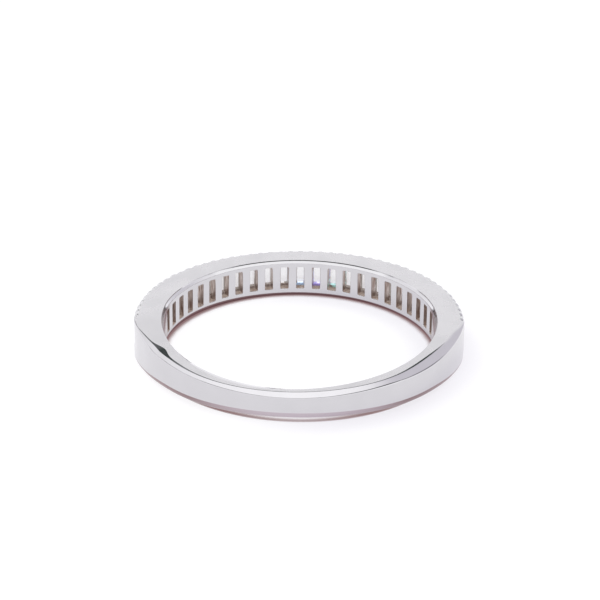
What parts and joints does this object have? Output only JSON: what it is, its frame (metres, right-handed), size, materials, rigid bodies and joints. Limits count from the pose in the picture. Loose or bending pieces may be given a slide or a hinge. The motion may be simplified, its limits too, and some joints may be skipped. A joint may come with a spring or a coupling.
{
  "type": "half-eternity ring",
  "caption": "Half-eternity ring: baguette stones channel-set between two milgrained rails, a window behind each, and a plain shank that tapers to the back.",
  "frame": {"origin": "centre of the finger hole at the band's mid height", "axes": "+Z along the finger hole, +Y towards the middle of the row of stones, +X to the right seen from the shank"},
  "size_m": [0.021, 0.0201, 0.0026],
  "materials": {
    "white_metal": "white metal, polished with a fine grain on the side faces",
    "clear_stone": "clear step-cut stone, polished"
  },
  "bodies": {
    "root": {"band": "white_metal", "stone_01": "clear_stone", "stone_02": "clear_stone", "stone_03": "clear_stone", "stone_04": "clear_stone", "stone_05": "clear_stone", "stone_06": "clear_stone", "stone_07": "clear_stone", "stone_08": "clear_stone", "stone_09": "clear_stone", "stone_10": "clear_stone", "stone_11": "clear_stone", "stone_12": "clear_stone", "stone_13": "clear_stone", "stone_14": "clear_stone", "stone_15": "clear_stone", "stone_16": "clear_stone", "stone_17": "clear_stone", "stone_18": "clear_stone", "stone_19": "clear_stone", "stone_20": "clear_stone", "stone_21": "clear_stone", "stone_22": "clear_stone", "stone_23": "clear_stone"}
  },
  "joints": []
}
